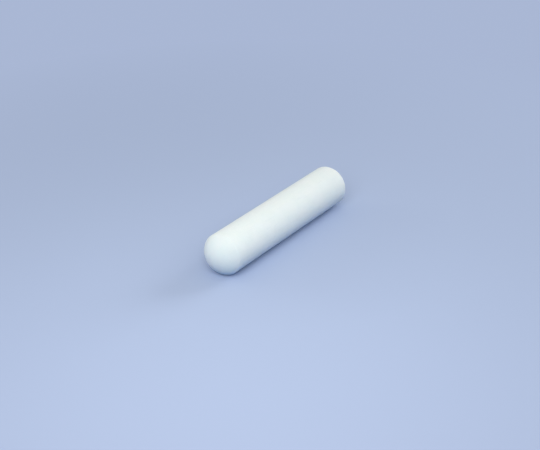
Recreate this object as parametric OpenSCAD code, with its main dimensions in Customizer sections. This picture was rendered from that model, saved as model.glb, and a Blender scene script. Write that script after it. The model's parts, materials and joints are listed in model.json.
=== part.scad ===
// Magnetic stir bar, plain cylindrical pattern with domed ends.
// A white PTFE jacket is moulded without a seam round a cast rod magnet.
// The bar lies along X on the plane Z = 0, centred on the origin.
// Z is the axis that the bar spins about when a stirrer drives it.

/* [Bar] */
// Outer diameter of the barrel
bar_d = 8; // [7:0.1:12]
// Overall length from pole to pole
bar_l = 41; // [25:0.5:80]
// Length of each domed end beyond the barrel
dome_h = 2.5; // [1.5:0.1:3.2]
// Radius that breaks the edge between the barrel and a dome
edge_r = 0.4; // [0.1:0.05:0.6]

/* [Magnet] */
// Thickness of the jacket round the side of the magnet
side_wall = 1.25; // [0.8:0.05:1.8]
// Thickness of the jacket between a pole and the magnet's end
end_wall = 3; // [2.5:0.1:6]
// Chamfer on both ends of the magnet
magnet_chamfer = 0.4; // [0.2:0.05:0.8]

/* [Hidden] */
$fn = 96;

bar_r = bar_d / 2;
magnet_r = bar_r - side_wall;
magnet_l = bar_l - 2 * end_wall;

// Each dome is a cap of a sphere a little wider than the barrel, so it meets
// the barrel at a shallow angle that the edge arc then rounds over.
dome_r = (bar_r * bar_r + dome_h * dome_h) / (2 * dome_h);
dome_y = bar_l / 2 - dome_r;

// The edge arc touches the barrel's side and the dome from inside.
edge_x = bar_r - edge_r;
edge_y = dome_y + sqrt(pow(dome_r - edge_r, 2) - pow(edge_x, 2));
edge_angle = atan2(edge_y - dome_y, edge_x);

// Half sections have the radius along X and the bar's length along Y.

// What the edge arc takes off the sharp corner of a quarter section.
module edge_waste() {
    reach = 2 * edge_r;
    translate([edge_x, edge_y])
        difference() {
            polygon([
                [0, 0],
                [reach, 0],
                [reach, reach],
                reach * [cos(edge_angle), sin(edge_angle)]
            ]);
            circle(r = edge_r);
        }
}

// From the middle of the bar to one pole.
module quarter_section() {
    difference() {
        intersection() {
            square([bar_r, bar_l / 2]);
            union() {
                square([bar_r, dome_y]);
                translate([0, dome_y]) circle(r = dome_r);
            }
        }
        edge_waste();
    }
}

module bar_section() {
    quarter_section();
    mirror([0, 1]) quarter_section();
}

module magnet_section() {
    neck_r = magnet_r - magnet_chamfer;
    end_y = magnet_l / 2;
    side_y = end_y - magnet_chamfer;
    polygon([
        [0, -end_y],
        [neck_r, -end_y],
        [magnet_r, -side_y],
        [magnet_r, side_y],
        [neck_r, end_y],
        [0, end_y]
    ]);
}

// Turns a half section into a solid that lies along X on the plane Z = 0.
module turned_lying() {
    translate([0, 0, bar_r])
        rotate([0, 90, 0])
            rotate_extrude()
                children();
}

// Seamless moulding: its sealed cavity has the form of the magnet it shrank on.
module jacket() {
    color("white")
        turned_lying()
            difference() {
                bar_section();
                magnet_section();
            }
}

// Cast rod magnet, magnetised along its length.
module magnet_core() {
    color("dimgray")
        turned_lying()
            magnet_section();
}

jacket();
magnet_core();
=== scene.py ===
import json
import math

import bmesh
import bpy
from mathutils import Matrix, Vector


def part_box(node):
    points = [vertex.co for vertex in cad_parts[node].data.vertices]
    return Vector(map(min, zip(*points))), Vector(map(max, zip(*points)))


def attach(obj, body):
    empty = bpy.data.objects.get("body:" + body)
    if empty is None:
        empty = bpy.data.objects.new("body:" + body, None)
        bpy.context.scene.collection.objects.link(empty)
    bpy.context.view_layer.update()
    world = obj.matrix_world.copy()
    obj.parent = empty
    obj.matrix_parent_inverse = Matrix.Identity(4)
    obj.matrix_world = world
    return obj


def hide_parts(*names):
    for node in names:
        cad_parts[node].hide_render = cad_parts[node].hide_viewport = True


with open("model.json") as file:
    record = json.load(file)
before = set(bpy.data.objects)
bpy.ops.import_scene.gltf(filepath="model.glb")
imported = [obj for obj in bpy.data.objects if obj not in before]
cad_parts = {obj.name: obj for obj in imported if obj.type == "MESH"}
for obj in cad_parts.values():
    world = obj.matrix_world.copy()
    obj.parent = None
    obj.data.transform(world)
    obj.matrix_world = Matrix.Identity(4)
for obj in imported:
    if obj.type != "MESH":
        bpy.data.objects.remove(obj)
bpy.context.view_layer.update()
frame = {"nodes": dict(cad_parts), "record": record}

# A plain magnetic stir bar: a seamless white PTFE jacket with domed ends,
# moulded round a ground rod of cast magnet alloy. Everything is in metres,
# the bar lies along X and its lowest line touches Z = 0.

MM = 0.001

# ---------------------------------------------------------------- sizes

barrel_mount = next(m for m in frame["record"]["mounts"] if m["name"] == "barrel")
bar_low, bar_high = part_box("jacket")
core_low, core_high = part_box("magnet_core")

BAR_LENGTH = bar_high.x - bar_low.x
BAR_RADIUS = barrel_mount["dims"]["r_mm"] * MM
CENTRE = Vector(barrel_mount["pos_m"])
CORE_LENGTH = core_high.x - core_low.x
CORE_RADIUS = (core_high.z - core_low.z) / 2

DOME_HEIGHT = 2.5 * MM
EDGE_RADIUS = 0.4 * MM
CORE_CHAMFER = 0.4 * MM

# A dome is the cap of a sphere that is a little wider than the barrel, and
# an arc that touches both rounds the edge between them.
DOME_RADIUS = (BAR_RADIUS ** 2 + DOME_HEIGHT ** 2) / (2 * DOME_HEIGHT)
DOME_X = BAR_LENGTH / 2 - DOME_RADIUS
EDGE_CENTRE_R = BAR_RADIUS - EDGE_RADIUS
EDGE_ANGLE = math.acos(EDGE_CENTRE_R / (DOME_RADIUS - EDGE_RADIUS))
EDGE_CENTRE_X = DOME_X + (DOME_RADIUS - EDGE_RADIUS) * math.sin(EDGE_ANGLE)

# Faces round the bar, and rings of faces along it
ROUND_STEPS = 128
BARREL_STEPS = 50
EDGE_STEPS = 6
DOME_STEPS = 40
CAVITY_STEPS = 96

# Points closer than the gap count as one, and edges sharper than the angle
# aren't smoothed
MERGE_GAP = 0.001 * MM
CRISP_ANGLE = math.radians(30)


# ---------------------------------------------------------------- modelling

def start_clean():
    """Nothing stays selected, so that an operator acts on the new piece alone."""
    bpy.ops.object.select_all(action="DESELECT")


def select_edges(obj, wanted):
    """In edit mode, selects the edges whose two ends both pass the test."""
    bpy.ops.mesh.select_all(action="DESELECT")
    mesh = bmesh.from_edit_mesh(obj.data)
    for edge in mesh.edges:
        if all(wanted(obj.matrix_world @ vertex.co) for vertex in edge.verts):
            edge.select_set(True)
    mesh.select_flush_mode()
    bmesh.update_edit_mesh(obj.data)


def arc(centre_x, centre_r, radius, start, end, steps):
    """(x, r) along an arc, after its first point; angles are from straight out."""
    points = []
    for step in range(1, steps + 1):
        angle = start + (end - start) * step / steps
        points.append((centre_x + radius * math.sin(angle), centre_r + radius * math.cos(angle)))
    return points


def half_outline():
    """(x, r) from the middle of the barrel to one pole."""
    barrel = [
        (EDGE_CENTRE_X * step / BARREL_STEPS, BAR_RADIUS)
        for step in range(BARREL_STEPS + 1)
    ]
    edge = arc(EDGE_CENTRE_X, EDGE_CENTRE_R, EDGE_RADIUS, 0, EDGE_ANGLE, EDGE_STEPS)
    dome = arc(DOME_X, 0, DOME_RADIUS, EDGE_ANGLE, math.pi / 2, DOME_STEPS)
    return barrel + edge + dome[:-1]


def turn_half_shell():
    """Half of the jacket's skin, drawn out ring by ring and closed at the pole."""
    start_clean()
    bpy.ops.mesh.primitive_circle_add(
        vertices=ROUND_STEPS,
        radius=BAR_RADIUS,
        location=CENTRE,
        rotation=(0, math.pi / 2, 0),
    )
    shell = bpy.context.object
    bpy.ops.object.transform_apply(location=True, rotation=True, scale=True)
    bpy.ops.object.mode_set(mode="EDIT")
    bpy.ops.mesh.select_all(action="SELECT")
    outline = half_outline()
    for (x, r), (next_x, next_r) in zip(outline, outline[1:]):
        bpy.ops.mesh.extrude_region_move(TRANSFORM_OT_translate={"value": (next_x - x, 0, 0)})
        bpy.ops.transform.resize(
            value=(1, next_r / r, next_r / r),
            center_override=(next_x, CENTRE.y, CENTRE.z),
        )
    last_x = outline[-1][0]
    pole_x = BAR_LENGTH / 2
    bpy.ops.mesh.extrude_region_move(TRANSFORM_OT_translate={"value": (pole_x - last_x, 0, 0)})
    bpy.ops.mesh.merge(type="CENTER")
    bpy.ops.object.mode_set(mode="OBJECT")
    return shell


def mirror_half_shell(shell):
    """Adds the other half and turns every face outwards."""
    mirror = shell.modifiers.new("other_half", "MIRROR")
    mirror.merge_threshold = MERGE_GAP
    bpy.ops.object.modifier_apply(modifier=mirror.name)
    bpy.ops.object.mode_set(mode="EDIT")
    bpy.ops.mesh.select_all(action="SELECT")
    bpy.ops.mesh.normals_make_consistent(inside=False)
    bpy.ops.object.mode_set(mode="OBJECT")


def model_cavity():
    """The sealed cavity that the magnet fills, its faces turned to the inside."""
    start_clean()
    bpy.ops.mesh.primitive_cylinder_add(
        vertices=CAVITY_STEPS,
        radius=CORE_RADIUS,
        depth=CORE_LENGTH,
        location=CENTRE,
        rotation=(0, math.pi / 2, 0),
    )
    cavity = bpy.context.object
    bpy.ops.object.transform_apply(location=True, rotation=True, scale=True)
    bpy.ops.object.mode_set(mode="EDIT")
    bpy.ops.mesh.select_mode(type="EDGE")
    for end_x in (-CORE_LENGTH / 2, CORE_LENGTH / 2):
        select_edges(cavity, lambda point: math.isclose(point.x, end_x, abs_tol=MERGE_GAP))
        bpy.ops.mesh.bevel(offset=CORE_CHAMFER, segments=1, affect="EDGES")
    bpy.ops.mesh.select_all(action="SELECT")
    bpy.ops.mesh.flip_normals()
    bpy.ops.object.mode_set(mode="OBJECT")
    return cavity


def model_jacket():
    """The whole moulding: domes, barrel and the cavity inside, as one piece."""
    jacket = turn_half_shell()
    mirror_half_shell(jacket)
    cavity = model_cavity()
    start_clean()
    cavity.select_set(True)
    jacket.select_set(True)
    bpy.context.view_layer.objects.active = jacket
    bpy.ops.object.join()
    bpy.ops.object.shade_smooth_by_angle(angle=CRISP_ANGLE)
    jacket.name = "ptfe_jacket"
    jacket.data.name = "ptfe_jacket"
    return jacket


# ---------------------------------------------------------------- materials

# PTFE: its colours, its smoothest and its dullest, and how light sinks in
PTFE_WHITE = (0.860, 0.938, 0.899, 1)
PTFE_CLOUD = (0.826, 0.911, 0.877, 1)
SCUFF_GREY = (0.720, 0.800, 0.815, 1)
PTFE_ROUGHNESS = (0.54, 0.62)
PTFE_RELIEF = 0.010 * MM
PTFE_IOR = 1.35
PTFE_GLOW_DEPTH = 1.0 * MM
PTFE_GLOW_BY_COLOUR = (1.0, 0.95, 0.9)

# Of PTFE's cloudy tone, the part that the large patches make
LARGE_CLOUD_SHARE = 0.65
# What a full scuff does to the colour, the roughness and the height, and
# what the rims take off the roughness
SCUFF_TINT = 0.35
SCUFF_ROUGHNESS = 0.10
SCUFF_DEPTH = 0.4
RIM_POLISH = 0.07

# Magnet alloy: the same, with its grinding lines and its casting pores
ALLOY_GREY = (0.360, 0.355, 0.345, 1)
ALLOY_DARK = (0.260, 0.256, 0.250, 1)
GROUND_BRIGHT = (0.540, 0.535, 0.520, 1)
PORE_DARK = (0.080, 0.078, 0.075, 1)
ALLOY_ROUGHNESS = (0.36, 0.46)
ALLOY_RELIEF = 0.004 * MM
GRINDING_TINT = 0.45
GRINDING_POLISH = 0.08
GRINDING_HEIGHT = 0.6
PORE_METALLIC = 0.4
PORE_ROUGHNESS = 0.30
PORE_DEPTH = 2.0

# Where the noise turns into clouds, hairlines, patches of marks and the
# lines in them
CLOUD_RANGE = (0.36, 0.64)
HAIRLINE_WIDTH = 0.05
MARK_PATCH_RANGE = (0.58, 0.72)
MARK_WIDTH = 0.03
LANE_MIDDLE = 0.5
# Moves the patches of marks away from the noise that bends the lines
MARK_PATCH_SHIFT = (0.05, 0.03, 0.02)


def add_node(tree, kind, sockets, **options):
    """A node with its options set; an output given for a socket is linked to it."""
    node = tree.nodes.new("ShaderNode" + kind)
    for option, value in options.items():
        setattr(node, option, value)
    for name, value in sockets.items():
        if isinstance(value, bpy.types.NodeSocket):
            tree.links.new(value, node.inputs[name])
        else:
            node.inputs[name].default_value = value
    return node


def calculate(tree, operation, first, second=0.0):
    """One step of arithmetic on one or two numbers or outputs."""
    return add_node(tree, "Math", {0: first, 1: second}, operation=operation).outputs["Value"]


def blend_colours(tree, mask, colour, colour_in_mask):
    """The first colour, and the second one where the mask is 1."""
    sockets = {"Factor": mask, "A": colour, "B": colour_in_mask}
    return add_node(tree, "Mix", sockets, data_type="RGBA").outputs["Result"]


def stretch(tree, value, low, high, new_low=0.0, new_high=1.0):
    """Stretches low..high to new_low..new_high and cuts off what lies outside."""
    sockets = {
        "Value": value,
        "From Min": low,
        "From Max": high,
        "To Min": new_low,
        "To Max": new_high,
    }
    return add_node(tree, "MapRange", sockets).outputs["Result"]


def noise(tree, position, scale, detail=0.0, roughness=0.5):
    """Smooth noise, mostly near 0.5 and always from 0 to 1."""
    sockets = {"Vector": position, "Scale": scale, "Detail": detail, "Roughness": roughness}
    return add_node(tree, "TexNoise", sockets).outputs["Fac"]


def start_group(name, *value_names):
    """A node group that reads a position and the values named."""
    group = bpy.data.node_groups.new(name, "ShaderNodeTree")
    group.interface.new_socket("Position", in_out="INPUT", socket_type="NodeSocketVector")
    for value_name in value_names:
        group.interface.new_socket(value_name, in_out="INPUT", socket_type="NodeSocketFloat")
    group.interface.new_socket("Mask", in_out="OUTPUT", socket_type="NodeSocketFloat")
    return group, group.nodes.new("NodeGroupInput").outputs


def close_group(group, mask):
    """Ends a node group with the mask that it puts out."""
    ending = group.nodes.new("NodeGroupOutput")
    group.links.new(mask, ending.inputs["Mask"])
    return group


def cloudiness_group():
    """Soft patches, each about one patch size across."""
    group, given = start_group("cloudiness", "Patch Size")
    scale = calculate(group, "DIVIDE", 1.0, given["Patch Size"])
    patches = noise(group, given["Position"], scale, detail=2.0)
    return close_group(group, stretch(group, patches, *CLOUD_RANGE))


def grain_group():
    """The fine unevenness of a moulded or ground skin, as a height from 0 to 1."""
    group, given = start_group("surface_grain", "Grain Size")
    scale = calculate(group, "DIVIDE", 1.0, given["Grain Size"])
    grain = noise(group, given["Position"], scale, detail=3.0, roughness=0.6)
    return close_group(group, grain)


def hairlines_group():
    """Thin marks that run along or round the bar; a higher sparseness leaves fewer."""
    group, given = start_group("hairlines", "Size Along", "Size Across", "Sparseness")
    across = calculate(group, "DIVIDE", 1.0, given["Size Across"])
    sockets = {
        "X": calculate(group, "DIVIDE", 1.0, given["Size Along"]),
        "Y": across,
        "Z": across,
    }
    scales = add_node(group, "CombineXYZ", sockets).outputs["Vector"]
    sockets = {0: given["Position"], 1: scales}
    drawn_out = add_node(group, "VectorMath", sockets, operation="MULTIPLY").outputs["Vector"]
    streaks = noise(group, drawn_out, 1.0, detail=1.0, roughness=0.4)
    over = calculate(group, "SUBTRACT", streaks, given["Sparseness"])
    return close_group(group, stretch(group, over, 0.0, HAIRLINE_WIDTH))


def rolling_marks_group():
    """Short marks that bend gently, left where the bar rolled over grit."""
    group, given = start_group("rolling_marks", "Bend Size", "Lines Per Bend", "Mark Length")
    bend_scale = calculate(group, "DIVIDE", 1.0, given["Bend Size"])
    bends = noise(group, given["Position"], bend_scale)
    lanes = calculate(group, "MULTIPLY", bends, given["Lines Per Bend"])
    across_lane = calculate(group, "FRACT", lanes)
    past_line = calculate(group, "SUBTRACT", across_lane, LANE_MIDDLE)
    from_line = calculate(group, "ABSOLUTE", past_line)
    lines = stretch(group, from_line, 0.0, MARK_WIDTH, 1.0, 0.0)

    sockets = {0: given["Position"], 1: MARK_PATCH_SHIFT}
    elsewhere = add_node(group, "VectorMath", sockets, operation="ADD").outputs["Vector"]
    patch_scale = calculate(group, "DIVIDE", 1.0, given["Mark Length"])
    patches = stretch(group, noise(group, elsewhere, patch_scale), *MARK_PATCH_RANGE)
    return close_group(group, calculate(group, "MULTIPLY", lines, patches))


def rim_band_group():
    """A soft band on both ends, as far from the middle as the rim place says."""
    group, given = start_group("rim_band", "Rim Place", "Half Width")
    x = add_node(group, "SeparateXYZ", {"Vector": given["Position"]}).outputs["X"]
    from_middle = calculate(group, "ABSOLUTE", x)
    past_rim = calculate(group, "SUBTRACT", from_middle, given["Rim Place"])
    from_rim = calculate(group, "ABSOLUTE", past_rim)
    share = calculate(group, "DIVIDE", from_rim, given["Half Width"])
    return close_group(group, stretch(group, share, 0.0, 1.0, 1.0, 0.0))


CLOUDINESS = cloudiness_group()
SURFACE_GRAIN = grain_group()
HAIRLINES = hairlines_group()
ROLLING_MARKS = rolling_marks_group()
RIM_BAND = rim_band_group()


def place_effect(tree, effect, position, **values):
    """Puts a shared effect in a material with this material's own values."""
    node = tree.nodes.new("ShaderNodeGroup")
    node.node_tree = effect
    tree.links.new(position, node.inputs["Position"])
    for name, value in values.items():
        node.inputs[name.replace("_", " ").title()].default_value = value
    return node.outputs["Mask"]


def new_material(name):
    """A new material, with its node tree and its shader."""
    material = bpy.data.materials.new(name)
    material.use_nodes = True
    return material, material.node_tree, material.node_tree.nodes["Principled BSDF"]


def ptfe():
    """White moulded PTFE: waxy, faintly cloudy, with fine handling marks."""
    material, tree, surface = new_material("ptfe")
    position = tree.nodes.new("ShaderNodeTexCoord").outputs["Object"]

    clouds = place_effect(tree, CLOUDINESS, position, patch_size=3.2 * MM)
    powder = place_effect(tree, CLOUDINESS, position, patch_size=0.5 * MM)
    clouds = calculate(tree, "MULTIPLY", clouds, LARGE_CLOUD_SHARE)
    powder = calculate(tree, "MULTIPLY", powder, 1 - LARGE_CLOUD_SHARE)
    tone = calculate(tree, "ADD", clouds, powder)

    lengthwise = place_effect(
        tree,
        HAIRLINES,
        position,
        size_along=2.6 * MM,
        size_across=0.11 * MM,
        sparseness=0.66,
    )
    long_marks = place_effect(
        tree,
        ROLLING_MARKS,
        position,
        bend_size=11.0 * MM,
        lines_per_bend=9.0,
        mark_length=1.4 * MM,
    )
    short_marks = place_effect(
        tree,
        ROLLING_MARKS,
        position,
        bend_size=7.0 * MM,
        lines_per_bend=7.0,
        mark_length=0.8 * MM,
    )
    rolled = calculate(tree, "MAXIMUM", long_marks, short_marks)
    scuffs = calculate(tree, "MAXIMUM", lengthwise, rolled)
    rims = place_effect(tree, RIM_BAND, position, rim_place=EDGE_CENTRE_X, half_width=0.7 * MM)

    colour = blend_colours(tree, tone, PTFE_WHITE, PTFE_CLOUD)
    scuff_tint = calculate(tree, "MULTIPLY", scuffs, SCUFF_TINT)
    colour = blend_colours(tree, scuff_tint, colour, SCUFF_GREY)
    tree.links.new(colour, surface.inputs["Base Color"])

    roughness = stretch(tree, tone, 0.0, 1.0, *PTFE_ROUGHNESS)
    dulled = calculate(tree, "MULTIPLY", scuffs, SCUFF_ROUGHNESS)
    roughness = calculate(tree, "ADD", roughness, dulled)
    polished = calculate(tree, "MULTIPLY", rims, RIM_POLISH)
    roughness = calculate(tree, "SUBTRACT", roughness, polished)
    tree.links.new(roughness, surface.inputs["Roughness"])

    grain = place_effect(tree, SURFACE_GRAIN, position, grain_size=0.45 * MM)
    sunk = calculate(tree, "MULTIPLY", scuffs, SCUFF_DEPTH)
    height = calculate(tree, "SUBTRACT", grain, sunk)
    bump = add_node(tree, "Bump", {"Height": height, "Distance": PTFE_RELIEF, "Strength": 1.0})
    tree.links.new(bump.outputs["Normal"], surface.inputs["Normal"])

    surface.inputs["IOR"].default_value = PTFE_IOR
    surface.inputs["Subsurface Weight"].default_value = 1.0
    surface.inputs["Subsurface Radius"].default_value = PTFE_GLOW_BY_COLOUR
    surface.inputs["Subsurface Scale"].default_value = PTFE_GLOW_DEPTH
    return material


def cast_magnet():
    """Cast magnet alloy: grey, ground round and round, with small casting pores."""
    material, tree, surface = new_material("cast_magnet")
    position = tree.nodes.new("ShaderNodeTexCoord").outputs["Object"]

    clouds = place_effect(tree, CLOUDINESS, position, patch_size=2.5 * MM)
    ground = place_effect(
        tree,
        HAIRLINES,
        position,
        size_along=0.07 * MM,
        size_across=9.0 * MM,
        sparseness=0.50,
    )
    pores = place_effect(
        tree,
        HAIRLINES,
        position,
        size_along=0.22 * MM,
        size_across=0.22 * MM,
        sparseness=0.70,
    )
    rim_place = CORE_LENGTH / 2 - CORE_CHAMFER
    rims = place_effect(tree, RIM_BAND, position, rim_place=rim_place, half_width=0.25 * MM)

    colour = blend_colours(tree, clouds, ALLOY_GREY, ALLOY_DARK)
    ground_tint = calculate(tree, "MULTIPLY", ground, GRINDING_TINT)
    bright = calculate(tree, "MAXIMUM", ground_tint, rims)
    colour = blend_colours(tree, bright, colour, GROUND_BRIGHT)
    colour = blend_colours(tree, pores, colour, PORE_DARK)
    tree.links.new(colour, surface.inputs["Base Color"])

    metal = stretch(tree, pores, 0.0, 1.0, 1.0, PORE_METALLIC)
    tree.links.new(metal, surface.inputs["Metallic"])

    roughness = stretch(tree, clouds, 0.0, 1.0, *ALLOY_ROUGHNESS)
    polished = calculate(tree, "MULTIPLY", bright, GRINDING_POLISH)
    roughness = calculate(tree, "SUBTRACT", roughness, polished)
    dulled = calculate(tree, "MULTIPLY", pores, PORE_ROUGHNESS)
    roughness = calculate(tree, "ADD", roughness, dulled)
    tree.links.new(roughness, surface.inputs["Roughness"])

    grain = place_effect(tree, SURFACE_GRAIN, position, grain_size=0.3 * MM)
    raised = calculate(tree, "MULTIPLY", ground, GRINDING_HEIGHT)
    sunk = calculate(tree, "MULTIPLY", pores, PORE_DEPTH)
    height = calculate(tree, "SUBTRACT", calculate(tree, "ADD", grain, raised), sunk)
    bump = add_node(tree, "Bump", {"Height": height, "Distance": ALLOY_RELIEF, "Strength": 1.0})
    tree.links.new(bump.outputs["Normal"], surface.inputs["Normal"])
    return material


# ---------------------------------------------------------------- studio

PICTURE_WIDTH = 540
FOCAL_LENGTH_IN_PIXELS = 1281
SENSOR_WIDTH = 36.0
NEAREST_SEEN = 0.01
FARTHEST_SEEN = 10.0
CAMERA_ELEVATION = math.radians(26.48)
CAMERA_HEADING = math.radians(-55.81)
# The bar's middle as the camera sees it: to its right, above its axis and away
BAR_FROM_CAMERA = Vector((1.543, 1.305, -243.85)) * MM

# The floor and the backdrop as they look, and the light that the floor and
# the sky give the bar
FLOOR_COLOUR = (0.45, 0.54, 0.74, 1)
BACKDROP_COLOUR = (0.40, 0.475, 0.66, 1)
FLOOR_BOUNCE = (0.11, 0.22, 0.46, 1)
SKY_LIGHT = (0.474, 0.474, 0.474, 1)

FLOOR_SIZE = 4.0
FLOOR_ROUGHNESS = 0.9
FLOOR_SPECULAR = 0.1
# Where the floor starts to fade, and where only the backdrop is left, both as
# distances from the middle of the bar
FADE_START = 0.035
FADE_END = 0.120


def studio_camera():
    """The scene's camera, raised and turned to look along the bar from one end."""
    data = bpy.data.cameras.new("studio_camera")
    data.sensor_fit = "HORIZONTAL"
    data.sensor_width = SENSOR_WIDTH
    data.lens = SENSOR_WIDTH * FOCAL_LENGTH_IN_PIXELS / PICTURE_WIDTH
    data.clip_start = NEAREST_SEEN
    data.clip_end = FARTHEST_SEEN
    camera = bpy.data.objects.new("studio_camera", data)
    camera.rotation_euler = (math.pi / 2 - CAMERA_ELEVATION, 0, CAMERA_HEADING)
    turn = camera.rotation_euler.to_matrix()
    camera.location = CENTRE - turn @ BAR_FROM_CAMERA
    bpy.context.collection.objects.link(camera)
    bpy.context.scene.camera = camera


def seen_directly(tree):
    """1 for what the camera, gloss or glass looks at, and 0 for the light that it gives."""
    path = tree.nodes.new("ShaderNodeLightPath").outputs
    seen = calculate(tree, "MAXIMUM", path["Is Camera Ray"], path["Is Glossy Ray"])
    return calculate(tree, "MAXIMUM", seen, path["Is Transmission Ray"])


def floor_material():
    """Pale blue paper that fades into the backdrop away from the bar."""
    material, tree, surface = new_material("studio_floor")
    surface.inputs["Roughness"].default_value = FLOOR_ROUGHNESS
    surface.inputs["Specular IOR Level"].default_value = FLOOR_SPECULAR
    seen = seen_directly(tree)
    paper = blend_colours(tree, seen, FLOOR_BOUNCE, FLOOR_COLOUR)
    tree.links.new(paper, surface.inputs["Base Color"])

    position = tree.nodes.new("ShaderNodeTexCoord").outputs["Object"]
    away = add_node(tree, "VectorMath", {0: position}, operation="LENGTH").outputs["Value"]
    fade = calculate(tree, "MULTIPLY", stretch(tree, away, FADE_START, FADE_END), seen)
    backdrop = add_node(tree, "Emission", {"Color": BACKDROP_COLOUR, "Strength": 1.0})
    sockets = {0: fade, 1: surface.outputs["BSDF"], 2: backdrop.outputs["Emission"]}
    faded = add_node(tree, "MixShader", sockets).outputs["Shader"]
    tree.links.new(faded, tree.nodes["Material Output"].inputs["Surface"])
    return material


def studio_floor():
    """A plain floor that the bar lies on and that isn't part of it."""
    start_clean()
    bpy.ops.mesh.primitive_plane_add(size=FLOOR_SIZE, location=(0, 0, 0))
    floor = bpy.context.object
    floor.name = "studio_floor"
    floor.data.materials.append(floor_material())


def softbox(name, heading, height, distance, size, power, mirrored):
    """A round soft lamp that faces the bar, with its angles in degrees.

    A lamp that isn't mirrored lights the bar and leaves no glare on it.
    """
    data = bpy.data.lights.new(name, "AREA")
    data.shape = "DISK"
    data.size = size
    data.energy = power
    light = bpy.data.objects.new(name, data)
    turn = math.radians(heading)
    lift = math.radians(height)
    away = Vector((
        math.cos(lift) * math.cos(turn),
        math.cos(lift) * math.sin(turn),
        math.sin(lift),
    ))
    light.location = CENTRE + away * distance
    light.rotation_euler = away.to_track_quat("Z", "Y").to_euler()
    light.visible_glossy = mirrored
    bpy.context.collection.objects.link(light)


def studio_world():
    """Even white light from all round, behind a backdrop in the floor's colour."""
    world = bpy.data.worlds.new("studio_world")
    world.use_nodes = True
    tree = world.node_tree
    colour = blend_colours(tree, seen_directly(tree), SKY_LIGHT, BACKDROP_COLOUR)
    tree.links.new(colour, tree.nodes["Background"].inputs["Color"])
    bpy.context.scene.world = world


# ---------------------------------------------------------------- assembly

studio_camera()
studio_floor()
studio_world()
softbox(
    "key_softbox",
    heading=-155,
    height=39,
    distance=0.17,
    size=0.12,
    power=0.154,
    mirrored=True,
)
softbox(
    "fill_softbox",
    heading=-20,
    height=21,
    distance=0.35,
    size=0.20,
    power=0.552,
    mirrored=False,
)
softbox(
    "back_softbox",
    heading=105,
    height=14,
    distance=0.35,
    size=0.20,
    power=0.160,
    mirrored=False,
)
bpy.context.scene.view_settings.view_transform = "Standard"

jacket = model_jacket()
jacket.data.materials.append(ptfe())
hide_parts("jacket")
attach(jacket, "root")

core = frame["nodes"]["magnet_core"]
core.material_slots[0].material = cast_magnet()
